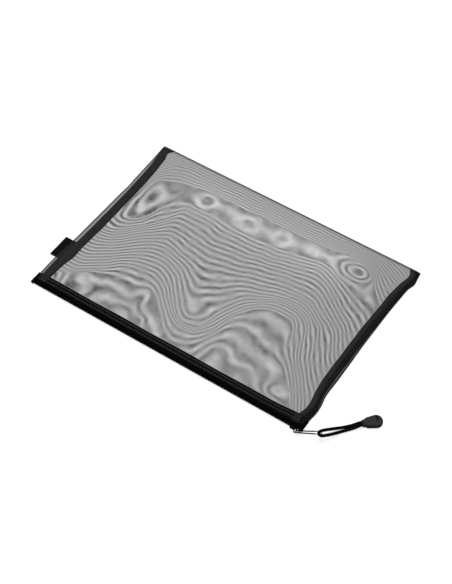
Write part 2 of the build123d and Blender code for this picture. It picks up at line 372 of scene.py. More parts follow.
def new_group(name: str, inputs: dict[str, str], outputs: tuple[str, ...]) -> tuple[Nodes, Any, Any]:
    """Start a shader node group that gives numbers.

    Args:
        name: Name of the group.
        inputs: Socket types by input name.
        outputs: Names of the outputs.

    Returns:
        The group's nodes, its input node's outputs and its output node's inputs.
    """
    tree = bpy.data.node_groups.new(name, "ShaderNodeTree")
    for socket, kind in inputs.items():
        tree.interface.new_socket(name=socket, in_out="INPUT", socket_type=kind)
    for socket in outputs:
        tree.interface.new_socket(name=socket, in_out="OUTPUT", socket_type=FLOAT_SOCKET)
    return Nodes(tree), tree.nodes.new("NodeGroupInput").outputs, tree.nodes.new("NodeGroupOutput").inputs


@cache
def weave_group() -> Tree:
    """Plain weave: rounded threads along U and V that pass over and under each other in turn.

    Returns:
        Group with inputs Vector, Warp Pitch and Weft Pitch and outputs Height and Thread.
    """
    inputs = {"Vector": "NodeSocketVector", "Warp Pitch": FLOAT_SOCKET, "Weft Pitch": FLOAT_SOCKET}
    nodes, given, made = new_group("plain weave", inputs, ("Height", "Thread"))
    place = nodes.add("ShaderNodeSeparateXYZ", {"Vector": given["Vector"]})
    waves = []
    for axis, pitch in (("X", "Warp Pitch"), ("Y", "Weft Pitch")):
        turns = nodes.calc("DIVIDE", place[axis], given[pitch])
        waves.append(nodes.calc("SINE", nodes.calc("MULTIPLY", turns, math.pi)))
    warp, weft = (nodes.calc("ABSOLUTE", wave) for wave in waves)
    over = nodes.calc("MULTIPLY_ADD", nodes.calc("MULTIPLY", *waves), 0.5, 0.5)
    under = nodes.calc("SUBTRACT", 1.0, over)
    raised = nodes.calc("MULTIPLY", warp, over), nodes.calc("MULTIPLY", weft, under)
    nodes.join(made["Height"], nodes.calc("MAXIMUM", *raised))
    nodes.join(made["Thread"], nodes.calc("MAXIMUM", warp, weft))
    return nodes.tree


@cache
def mottle_group() -> Tree:
    """Uneven tone of a worked surface: broad and fine noise round a level of 1.

    Returns:
        Group with inputs Scale and Amount and outputs Shade and Grain.
    """
    fine_ratio, broad_share = 9.0, 0.7
    broad_detail, fine_detail = 3.0, 2.0
    inputs = {"Scale": FLOAT_SOCKET, "Amount": FLOAT_SOCKET}
    nodes, given, made = new_group("mottle", inputs, ("Shade", "Grain"))
    place = nodes.place()
    broad = nodes.noise(place, given["Scale"], broad_detail)
    fine = nodes.noise(place, nodes.calc("MULTIPLY", given["Scale"], fine_ratio), fine_detail)
    fine_part = nodes.calc("MULTIPLY", fine, 1.0 - broad_share)
    both = nodes.calc("ADD", nodes.calc("MULTIPLY", broad, broad_share), fine_part)
    swing = nodes.calc("MULTIPLY", nodes.calc("SUBTRACT", both, NOISE_MEAN), given["Amount"])
    nodes.join(made["Shade"], nodes.calc("MULTIPLY_ADD", swing, 2.0, 1.0))
    nodes.join(made["Grain"], fine)
    return nodes.tree


# Finishes


@dataclass(frozen=True)
class Finish:
    """A surface finish, made into one material on first use."""

    name: str
    level: float = 0.02
    roughness: float = 0.6
    specular: float = 0.3
    index: float = 1.45
    mottle_scale: float = 300.0
    mottle_amount: float = 0.3

    def material(self) -> bpy.types.Material:
        """Give the finish's material, made once.

        Returns:
            The material.
        """
        found = bpy.data.materials.get(self.name)
        if found:
            return found
        material = bpy.data.materials.new(self.name)
        material.use_nodes = True
        shader = material.node_tree.nodes["Principled BSDF"]
        shader.inputs["Specular IOR Level"].default_value = self.specular
        shader.inputs["IOR"].default_value = self.index
        shader.inputs["Roughness"].default_value = self.roughness
        self.dress(Nodes(material.node_tree), shader)
        return material

    def dress(self, nodes: Nodes, shader: Node) -> None:
        """Join the finish's colour, roughness and relief to the shader.

        Args:
            nodes: The material's nodes.
            shader: Its Principled BSDF.
        """
        raise NotImplementedError

    def mottle(self, nodes: Nodes) -> Outputs:
        """Place the mottle group with this finish's values and give its outputs."""
        inputs = {"Scale": self.mottle_scale, "Amount": self.mottle_amount}
        return nodes.add("ShaderNodeGroup", inputs, node_tree=mottle_group())

    def coat(self, nodes: Nodes, shader: Node, colour: Any, shade: Socket) -> None:
        """Join a colour and the roughness, both made uneven by a shade."""
        nodes.join(shader.inputs["Base Color"], nodes.scaled(colour, shade))
        nodes.join(shader.inputs["Roughness"], nodes.calc("MULTIPLY", shade, self.roughness))


@dataclass(frozen=True)
class SheerMesh(Finish):
    """Fine nylon mesh: dark threads with open gaps, and the broad fringes of two layers seen together,
    painted into its cover.
    """

    thread_pitch: float = 0.7
    mean_thread: float = 0.8
    weave_depth: float = 0.5
    cover: float = 0.385
    cover_range: Pair = (0.02, 0.98)
    fringe_depth: float = 0.3
    wobble: float = 0.28
    wobble_scale: float = 0.09
    wobble_detail: float = 0.0
    patch_scale: float = 0.08
    patch_detail: float = 1.0
    patch_noise: Pair = (0.3, 0.7)
    patch_depth: Pair = (0.25, 1.25)
    painted_sheen_gain: float = 1.6

    def dress(self, nodes: Nodes, shader: Node) -> None:
        """Set how much the threads cover: the mean cover, the fringes, the weave and the folded edges.

        Args:
            nodes: The material's nodes.
            shader: Its Principled BSDF.
        """
        place = nodes.cloth_place()
        noise = nodes.noise(place, self.wobble_scale, self.wobble_detail)
        swing = nodes.calc("SUBTRACT", noise, NOISE_MEAN)
        number = nodes.calc("MULTIPLY_ADD", swing, self.wobble, nodes.read("fringe"))
        wave = nodes.calc("COSINE", nodes.calc("MULTIPLY", number, TURN))
        patches = nodes.noise(place, self.patch_scale, self.patch_detail)
        patch = nodes.ramp(patches, self.patch_noise, self.patch_depth)
        clear = nodes.calc("MULTIPLY", nodes.read("fringe_depth"), patch)
        depth = nodes.calc("MULTIPLY", clear, self.fringe_depth)
        mean = nodes.calc("ADD", nodes.read("extra_cover"), self.cover)
        thread = nodes.weave(self.thread_pitch, self.thread_pitch)["Thread"]
        raised = nodes.calc("SUBTRACT", thread, self.mean_thread)
        threads = nodes.calc("MULTIPLY_ADD", raised, self.weave_depth, 1.0)
        cover = nodes.calc("MULTIPLY", nodes.calc("MULTIPLY_ADD", wave, depth, mean), threads)
        least, most = self.cover_range
        held = nodes.add("ShaderNodeClamp", {"Value": cover, "Min": least, "Max": most})[0]
        nodes.join(shader.inputs["Alpha"], held)
        # Painted sheen: the threads lighter over the bindings, where the seam mark is 1
        seam = nodes.calc("MULTIPLY_ADD", nodes.read("seam"), self.painted_sheen_gain, 1.0)
        shade = nodes.calc("MULTIPLY", self.mottle(nodes)["Shade"], seam)
        nodes.join(shader.inputs["Base Color"], nodes.scaled(grey(self.level), shade))


@dataclass(frozen=True)
class Woven(Finish):
    """Woven tape with raised threads: painted highlight on the crowns, painted shade between them and from
    a named mark.
    """

    warp_pitch: float = 0.6
    weft_pitch: float = 0.4
    lit_crown_level: float = 0.035
    crown_polish: float = 0.12
    relief: float = 0.08
    strength: float = 0.6
    painted_shade_mark: str = ""

    def dress(self, nodes: Nodes, shader: Node) -> None:
        """Colour the threads by their height as painted highlight and shade, shade them unevenly and raise
        them.

        Args:
            nodes: The material's nodes.
            shader: Its Principled BSDF.
        """
        height = nodes.weave(self.warp_pitch, self.weft_pitch)["Height"]
        # Painted highlight on the thread crowns, painted shade in the hollows between threads
        colour = nodes.mix(height, grey(self.level), grey(self.lit_crown_level))
        # Painted shade read from the piece's own mark
        if self.painted_shade_mark:
            colour = nodes.scaled(colour, nodes.read(self.painted_shade_mark))
        nodes.join(shader.inputs["Base Color"], nodes.scaled(colour, self.mottle(nodes)["Shade"]))
        rough = nodes.calc("MULTIPLY_ADD", height, -self.crown_polish, self.roughness)
        nodes.join(shader.inputs["Roughness"], rough)
        nodes.emboss(shader, height, self.strength, self.relief)


@dataclass(frozen=True)
class Moulded(Finish):
    """Moulded nylon or rubber with a fine matt grain."""

    relief: float = 0.04
    strength: float = 0.35

    def dress(self, nodes: Nodes, shader: Node) -> None:
        """Shade the colour and roughness unevenly and raise the grain.

        Args:
            nodes: The material's nodes.
            shader: Its Principled BSDF.
        """
        uneven = self.mottle(nodes)
        self.coat(nodes, shader, grey(self.level), uneven["Shade"])
        nodes.emboss(shader, uneven["Grain"], self.strength, self.relief)


@dataclass(frozen=True)
class GroovedRubber(Moulded):
    """Matt rubber with painted shade: dark in the groove near its far end and towards its under side."""

    groove: Triple = (226.6, -67.5, 5.0)
    groove_axis: Triple = (0.7193, 0.6947, 0.0)
    groove_width: float = 1.7
    groove_length: float = 7.0
    rim_to_crown: Pair = (3.0, 6.5)
    painted_shade_by_height: Pair = (0.35, 1.1)

    def dress(self, nodes: Nodes, shader: Node) -> None:
        """Paint shade into the colour by the distance from the groove and by the height above the table.

        Args:
            nodes: The material's nodes.
            shader: Its Principled BSDF.
        """
        super().dress(nodes, shader)
        # Painted shade in the groove, a recess near the far end of the grip
        place = nodes.place()
        away = nodes.vector("SUBTRACT", place, [v * MM for v in self.groove])[0]
        along = nodes.vector("DOT_PRODUCT", away, self.groove_axis)["Value"]
        off_line = nodes.calc("DIVIDE", nodes.calc("ABSOLUTE", along), self.groove_width * MM)
        off_end = nodes.calc("DIVIDE", nodes.vector("LENGTH", away)["Value"], self.groove_length * MM)
        clear = nodes.calc("MINIMUM", nodes.calc("MAXIMUM", off_line, off_end), 1.0)
        # Painted shade towards the under side: darker lower down, lighter on top
        height = nodes.add("ShaderNodeSeparateXYZ", {"Vector": place})["Z"]
        rim, crown = self.rim_to_crown
        light = nodes.ramp(height, (rim * MM, crown * MM), self.painted_shade_by_height)
        colour = shader.inputs["Base Color"].links[0].from_socket
        shade = nodes.calc("MULTIPLY", clear, light)
        nodes.join(shader.inputs["Base Color"], nodes.scaled(colour, shade))


@dataclass(frozen=True)
class Metal(Finish):
    """Plated wire or enamelled casting; worn is the share of bare metal that shows through the enamel."""

    metal_level: float = 0.6
    worn: float = 1.0

    def dress(self, nodes: Nodes, shader: Node) -> None:
        """Mix enamel and bare metal by the mottle, with an uneven roughness.

        Args:
            nodes: The material's nodes.
            shader: Its Principled BSDF.
        """
        uneven = self.mottle(nodes)
        bare = nodes.calc("GREATER_THAN", uneven["Grain"], 1.0 - self.worn)
        self.coat(nodes, shader, nodes.mix(bare, grey(self.level), grey(self.metal_level)), uneven["Shade"])
        nodes.join(shader.inputs["Metallic"], bare)


@dataclass(frozen=True)
class Braid(Finish):
    """Braided cord, with painted shade between the strands."""

    lit_crown_level: float = 0.03
    relief: float = 0.05
    strength: float = 0.4

    def dress(self, nodes: Nodes, shader: Node) -> None:
        """Colour the strands by their height, as painted shade between them, and raise a fine grain of
        fibres on them.

        Args:
            nodes: The material's nodes.
            shader: Its Principled BSDF.
        """
        uneven = self.mottle(nodes)
        # Painted shade: darker between the strands, lighter on their crowns
        colour = nodes.mix(nodes.read("strand"), grey(self.level), grey(self.lit_crown_level))
        self.coat(nodes, shader, colour, uneven["Shade"])
        nodes.emboss(shader, uneven["Grain"], self.strength, self.relief)


SHEER = SheerMesh("sheer_mesh", level=0.012, roughness=0.8, index=1.0)
# Binding tape; its shade mark carries painted shade on the right binding
BINDING = Woven(
    "binding_tape", level=0.008, lit_crown_level=0.025, warp_pitch=0.8, weft_pitch=0.5, index=1.0,
    painted_shade_mark="shade",
)
ZIP_TAPE = Woven(
    "woven_zip_tape", level=0.0008, lit_crown_level=0.003, warp_pitch=0.5, weft_pitch=0.5, index=1.0,
)
RIBBON = Woven("ribbed_ribbon", level=0.001, lit_crown_level=0.008, warp_pitch=1.2, relief=0.12, index=1.05)
COIL = Moulded("nylon_coil", level=0.002, roughness=0.5, index=1.12, mottle_scale=900.0)
FILLER = Moulded("filler_cord", level=0.004, roughness=0.8, index=1.0)
STOP = Moulded("nylon_stop", level=0.003, roughness=0.5, index=1.15)
GRIP = GroovedRubber("rubber_grip", level=0.026, index=1.05, mottle_scale=500.0)
THREAD = Moulded("sewing_thread", level=0.1, index=1.2, mottle_scale=2000.0)
ENAMEL = Metal("slider_enamel", level=0.004, roughness=0.5, index=1.06, metal_level=0.2, worn=0.1)
BRIGHT_WIRE = Metal("nickel_wire", metal_level=0.75, roughness=0.2)
DARK_WIRE = Metal("blackened_wire", level=0.003, roughness=0.4, index=1.03, metal_level=0.15, worn=0.05)
CORD = Braid("braided_cord", level=0.001, lit_crown_level=0.007, roughness=0.8, index=1.0)


# Lines and fringes


@dataclass(frozen=True)
class SmoothLine:
    """Smooth line through a few points, each given as its place along the line and its place across."""

    points: tuple[Pair, ...]

    def at(self, along: Array) -> Array:
        """Place across: cubic Hermite pieces between the points, their slopes taken from the neighbours.

        Args:
            along: Places along the line.

        Returns:
            Place of the line across, at each of them.
        """
        knot, value = np.array(self.points).T
        slope = np.gradient(value, knot)
        low = np.clip(np.searchsorted(knot, along) - 1, 0, knot.size - 2)
        gap = knot[low + 1] - knot[low]
        share = np.clip((along - knot[low]) / gap, 0.0, 1.0)
        rise = share * share * (3.0 - 2.0 * share)
        leave = slope[low] * gap * share * (1.0 - share) ** 2
        arrive = slope[low + 1] * gap * share**2 * (share - 1.0)
        return value[low] * (1.0 - rise) + value[low + 1] * rise + leave + arrive


# Bowed side lines of the wallet and of both edges of its bindings, as (y, x) points
WALLET_EDGE = {
    Side.LEFT: SmoothLine((
        (-116, -169.3), (-104, -169.3), (-88, -169.5), (-64, -168.0), (-49, -167.3), (-24, -166.7),
        (1, -166.1), (36, -165.3), (46, -164.8), (56, -165.3), (76, -165.7), (101, -166.3),
        (118, -166.9),
    )),
    Side.RIGHT: SmoothLine((
        (-116, 172.0), (-104, 172.6), (-96, 173.5), (-86, 173.1), (-74, 170.8), (-49, 170.4),
        (-24, 169.9), (1, 169.2), (26, 169.2), (56, 169.3), (76, 170.0), (92, 171.0), (101, 173.3),
        (108, 172.4), (118, 171.0),
    )),
}
BINDING_OUTER = {
    Side.LEFT: SmoothLine((
        (-116, -165.6), (-99, -165.8), (-86, -165.9), (-66, -164.2), (-49, -162.4), (-24, -161.6),
        (13, -160.8), (38, -160.6), (63, -161.4), (88, -162.6), (101, -164.4), (117, -166.3),
    )),
    Side.RIGHT: SmoothLine((
        (-116, 171.2), (-98, 172.6), (-86, 171.0), (-74, 168.5), (-61, 167.5), (-36, 167.2),
        (13, 167.1), (38, 167.6), (63, 168.9), (76, 169.4), (92, 170.4), (101, 172.6), (108, 171.7),
        (117, 170.4),
    )),
}
BINDING_FOLD = {
    Side.LEFT: SmoothLine((
        (-116, -155.8), (-94, -155.7), (-81, -154.4), (-72, -152.8), (-49, -152.8), (-24, -151.7),
        (1, -151.3), (26, -151.3), (51, -151.0), (76, -151.9), (88, -152.9), (101, -153.9),
        (114, -155.2), (117, -151.9),
    )),
    Side.RIGHT: SmoothLine((
        (-116, 158.0), (-105, 158.6), (-96, 160.9), (-86, 161.0), (-74, 158.5), (-61, 157.1),
        (-49, 156.4), (-24, 156.2), (26, 156.0), (51, 156.9), (76, 157.6), (88, 158.9), (98, 160.7),
        (106, 162.3), (112, 161.0), (117, 158.2),
    )),
}


def past_line(lines: dict[Side, SmoothLine], side: Side, x: Array, y: Array) -> Array:
    """Distance along X from one side's line, counted outwards."""
    return side.value * (x - lines[side].at(y))


def side_pinch(x: Array, y: Array) -> Array:
    """Share of the wallet's height left at a place: the root of 1 - t^2.

    Args:
        x: X of each point.
        y: Y of each point.

    Returns:
        1 inside the shoulders, where t is 0, and 0 at the side edges, where t has grown to 1.
    """
    to_edge = -np.maximum(past_line(WALLET_EDGE, Side.LEFT, x, y), past_line(WALLET_EDGE, Side.RIGHT, x, y))
    past = np.clip(1.0 - to_edge / SHOULDER, 0.0, 1.0)
    return np.sqrt(1.0 - past * past)


@dataclass(frozen=True)
class FringeLine(SmoothLine):
    """One fringe across the wallet: a smooth line through a few (x, y) points, and its number."""

    number: float = 0.0


@dataclass(frozen=True)
class Hill:
    """Bell-shaped hill or hollow of the fringe landscape, seen as rings."""

    height: float
    centre: Pair
    spread: Pair

    def share(self, x: Array, y: Array) -> Array:
        """Share of its height: exp(-dx^2 - dy^2) of the distances from its centre in spreads."""
        return hump(x, self.centre[0], self.spread[0]) * hump(y, self.centre[1], self.spread[1])


@dataclass(frozen=True)
class Wave:
    """Sine wave over the table, given by its lengths per radian along X and Y and its phase."""

    along_x: float = math.inf
    along_y: float = math.inf
    phase: float = 0.0

    def at(self, x: Array, y: Array) -> Array:
        """Sine of x over its length, plus y over its length, plus the phase."""
        return np.sin(x / self.along_x + y / self.along_y + self.phase)


@dataclass(frozen=True)
class Fringes:
    """Broad light and dark fringes where the two layers of mesh cross, as contours of a landscape.

    Between two neighbouring lines the number of fringes grows evenly. Below the lowest line it falls
    slowly, and hills add the rings.
    """

    lines: tuple[FringeLine, ...] = (
        FringeLine((
            (-172, -114), (-145, -91), (-124, -78), (-101, -69), (-85, -67), (-68, -67), (-55, -63),
            (-45, -67), (-30, -82), (-14, -98), (4, -104), (18, -101), (30, -86), (37, -68), (47, -56),
            (58, -52), (68, -57), (80, -61), (92, -60), (108, -66), (120, -73), (130, -81), (142, -96),
            (152, -112), (172, -146),
        ), -20.0),
        FringeLine((
            (-172, -102), (-138, -83), (-112, -63), (-95, -50), (-78, -46), (-60, -47), (-45, -55),
            (-30, -70), (-14, -82), (4, -86), (18, -81), (29, -64), (37, -42), (47, -26), (62, -16),
            (80, -13), (92, -16), (99, -26), (103, -38), (110, -48), (125, -64), (139, -83),
            (152, -103), (172, -134),
        ), -18.0),
        FringeLine((
            (-172, -90), (-138, -68), (-118, -53), (-105, -42), (-92, -33), (-78, -29), (-60, -30),
            (-45, -38), (-31, -53), (-15, -70), (4, -77), (16, -70), (23, -48), (33, -27), (46, -13),
            (62, -3), (80, 0), (97, -4), (106, -11), (112, -21), (116, -33), (122, -45), (136, -62),
            (150, -82), (172, -112),
        ), -15.0),
        FringeLine((
            (-172, -76), (-138, -53), (-118, -38), (-105, -27), (-92, -17), (-78, -13), (-60, -14),
            (-45, -20), (-31, -31), (-16, -40), (0, -33), (14, -19), (30, -8), (46, 0), (62, 6),
            (80, 9), (97, 6), (112, -2), (121, -11), (126, -22), (131, -34), (141, -48), (156, -64),
            (172, -82),
        ), -12.0),
        FringeLine((
            (-172, -60), (-138, -38), (-121, -24), (-109, -13), (-97, -3), (-85, 4), (-72, 4),
            (-45, -3), (-28, -6), (-10, -2), (10, 6), (46, 16), (80, 22), (98, 18), (115, 8), (127, 1),
            (136, -8), (142, -18), (148, -28), (157, -38), (172, -54),
        ), -9.0),
        FringeLine((
            (-172, -44), (-138, -24), (-121, -9), (-109, 3), (-99, 13), (-88, 21), (-75, 23), (-40, 20),
            (-10, 23), (46, 35), (84, 41), (100, 36), (115, 25), (130, 14), (142, 5), (149, -6),
            (156, -16), (172, -34),
        ), -6.0),
        FringeLine((
            (-172, -30), (-150, -20), (-138, -12), (-121, 3), (-109, 16), (-99, 30), (-91, 43),
            (-80, 46), (-40, 42), (0, 42), (46, 51), (86, 57), (100, 51), (115, 40), (130, 31),
            (143, 24), (152, 16), (172, -6),
        ), -3.0),
        FringeLine((
            (-172, -6), (-150, 2), (-138, 8), (-126, 15), (-118, 27), (-113, 44), (-107, 56), (-96, 61),
            (-78, 62), (0, 61), (46, 66), (90, 71), (105, 65), (120, 57), (136, 52), (150, 44),
            (172, 20),
        ), 0.0),
        FringeLine((
            (-172, 6), (-150, 20), (-131, 34), (-120, 48), (-110, 65), (-90, 74), (0, 75), (60, 79),
            (100, 82), (120, 73), (137, 61), (150, 52), (172, 29),
        ), 0.3),
        FringeLine((
            (-172, 30), (-148, 60), (-141, 68), (-130, 75), (-115, 80), (-100, 84), (-60, 87), (60, 90),
            (110, 93), (125, 87), (140, 71), (150, 61), (172, 40),
        ), 0.0),
        FringeLine((
            (-172, 70), (-150, 90), (-139, 98), (-124, 102), (-100, 104), (-60, 105), (60, 105),
            (100, 105), (125, 103), (140, 97), (155, 88), (172, 76),
        ), -5.0),
        FringeLine((
            (-172, 102), (-150, 114), (-124, 119), (-60, 121), (100, 121), (130, 119), (150, 112),
            (172, 99),
        ), -10.0),
        FringeLine(((-172, 170), (0, 179), (172, 165)), -30.0),
    )
    ridge_hills: tuple[Hill, ...] = (
        Hill(0.88, (-131, 46), (9.5, 20)),
        Hill(0.7, (-78, 74), (11, 10)),
        Hill(0.62, (-22, 72), (13, 12)),
        Hill(0.62, (19, 75), (13, 12)),
        Hill(0.25, (68, 79), (12, 8)),
        Hill(2.95, (115, 82), (19, 13)),
    )
    plain_hills: tuple[Hill, ...] = (
        Hill(1.3, (-125, -108), (17, 15)),
        Hill(-0.9, (-65, -101), (14, 13)),
        Hill(0.3, (-45, -80), (10, 12)),
        Hill(-0.4, (-58, -76), (6, 10)),
        Hill(-0.65, (-41, -102), (7, 8)),
        Hill(1.2, (-2, -60), (13, 12)),
        Hill(-0.5, (50, -88), (15, 15)),
        Hill(-0.2, (83, -96), (12, 10)),
        Hill(1.4, (124, -97), (13, 12)),
    )
    softness: float = 4.0
    plain_fall: float = 0.045
    plain_swell: float = 0.15
    plain_swell_start: float = 14.0
    plain_waves: tuple[Wave, Wave] = (Wave(21, phase=0.6), Wave(60, 14))
    ripple: float = 0.12
    ripple_waves: tuple[Wave, Wave] = (Wave(13, 20), Wave(-31, 9))
    fine_ripple: float = 0.08
    fine_wave: Wave = Wave(5.5, 23)
    left_x: float = -139.0
    left_fall: float = 0.13
    mean_clearness: float = 0.95
    patch_gain: float = 0.2
    patch_waves: tuple[Wave, Wave] = (Wave(23), Wave(along_y=17))
    patch_bends: Pair = (34.5, 20.4)
    bend_waves: tuple[Wave, Wave] = (Wave(along_y=31), Wave(37))
    speckle_gain: float = 0.1
    speckle_wave: Wave = Wave(9, 7)
    ring_gain: float = 0.22
    plain_loss: float = 0.2
    plain_loss_width: float = 25.0
    left_gain: float = 0.4
    left_gain_x: Pair = (-70.0, -110.0)
    left_gain_y: Pair = (60.0, 30.0)
    crowding: float = 0.5
    least_step: float = 0.1

    def count(self, x: Array, y: Array) -> Array:
        """Height of the landscape in fringes, dark at whole numbers.

        It is the sum of the even growth between the lines, the slow fall and swell below them, the ripples
        of crossed waves, the hills and a fall near the left binding.

        Args:
            x: X of each point.
            y: Y of each point.

        Returns:
            Number of fringes at each point.
        """
        heights = [line.at(x) for line in self.lines]
        count = np.full_like(x, self.lines[0].number)
        for low, high, line, above in zip(heights, heights[1:], self.lines, self.lines[1:]):
            count = count + (above.number - line.number) * np.clip((y - low) / (high - low), 0.0, 1.0)
        below = soft_ramp(heights[0] - y, self.softness)
        swell = self.plain_waves[0].at(x, y) * self.plain_waves[1].at(x, y)
        swell = self.plain_swell * swell * smoothstep(below, 0.0, self.plain_swell_start)
        ripple = self.ripple * self.ripple_waves[0].at(x, y) * self.ripple_waves[1].at(x, y)
        ripple = ripple + self.fine_ripple * self.fine_wave.at(x, y)
        rings = sum(hill.height * hill.share(x, y) for hill in self.ridge_hills + self.plain_hills)
        fall = self.plain_fall * below + self.left_fall * soft_ramp(self.left_x - x, self.softness)
        return count + swell + ripple + rings - fall

    def clearness(self, x: Array, y: Array, count: Array) -> Array:
        """How strongly a fringe shows: in soft patches, more at rings and at the left, less in a crowd.

        The sum of the patches and gains is divided by 1 plus the square of the slope over the crowding.

        Args:
            x: X of each point of a grid.
            y: Y of each point.
            count: Number of fringes at each point.

        Returns:
            0 for no fringe to about 1.
        """
        along_y = np.gradient(count, axis=0) / np.maximum(np.abs(np.gradient(y, axis=0)), self.least_step)
        along_x = np.gradient(count, axis=1) / np.maximum(np.abs(np.gradient(x, axis=1)), self.least_step)
        bent_x = x + self.patch_bends[0] * self.bend_waves[0].at(x, y)
        bent_y = y + self.patch_bends[1] * self.bend_waves[1].at(x, y)
        patches = self.patch_waves[0].at(bent_x, y) * self.patch_waves[1].at(x, bent_y)
        rings = sum(hill.share(x, y) for hill in self.ridge_hills)
        lowest = self.lines[0].at(x)
        plain = smoothstep(y, lowest, lowest - self.plain_loss_width)
        left = smoothstep(x, *self.left_gain_x) * smoothstep(y, *self.left_gain_y)
        speckle = self.speckle_wave.at(x, y)
        clear = self.mean_clearness + self.patch_gain * patches + self.speckle_gain * speckle
        clear = clear + self.ring_gain * rings - self.plain_loss * plain + self.left_gain * left
        return clear / (1.0 + (along_x**2 + along_y**2) / self.crowding**2)


# Sub-assemblies


@dataclass(frozen=True)
class MeshTone:
    """Where the mesh covers more: folded edges, slack cloth and the strips beside the bindings; and painted
    sheen on its threads over the bindings.
    """

    edge_cover: float = 0.42
    side_edge: Pair = (HALF_LENGTH - 1.8, HALF_LENGTH - 0.5)
    fold_edge: Pair = (FOLD_Y - 1.4, FOLD_Y - 0.3)
    right_cover: float = 0.03
    right_rise: Pair = (50.0, 150.0)
    ridge_loss: float = 0.05
    ridge_y: float = 78.0
    ridge_spread: float = 24.0
    ridge_ends: Pair = (140.0, 90.0)
    left_strip: float = 0.06
    right_strip: float = 0.28
    right_seam_end: Pair = (7.0, 4.0)
    soft_edge: Pair = (-0.5, 0.5)

    def marks(self, flat_x: Array, x: Array, y: Array) -> dict[str, Array]:
        """Extra cover, and turned-in cloth given a painted sheen, as sums of smooth steps, less a
        bell-shaped hump at the ridge.

        Args:
            flat_x: X of each point before the sides are bowed.
            x: X of each point.
            y: Y of each point.

        Returns:
            Values for the finish by name.
        """
        edge = np.maximum(smoothstep(np.abs(flat_x), *self.side_edge), smoothstep(y, *self.fold_edge))
        extra = self.edge_cover * edge + self.right_cover * smoothstep(x, *self.right_rise)
        ridge = hump(y, self.ridge_y, self.ridge_spread) * smoothstep(np.abs(x), *self.ridge_ends)
        extra = extra - self.ridge_loss * ridge
        for side, strip in ((Side.LEFT, self.left_strip), (Side.RIGHT, self.right_strip)):
            extra = extra + strip * smoothstep(past_line(BINDING_OUTER, side, x, y), *self.soft_edge)
        # Painted sheen on the threads over both bindings, on the right only near the fold
        past_right = past_line(BINDING_FOLD, Side.RIGHT, x, y)
        seam = smoothstep(past_line(BINDING_FOLD, Side.LEFT, x, y), *self.soft_edge)
        seam = seam + smoothstep(past_right, *self.soft_edge) * smoothstep(past_right, *self.right_seam_end)
        return {"extra_cover": extra, "seam": seam}


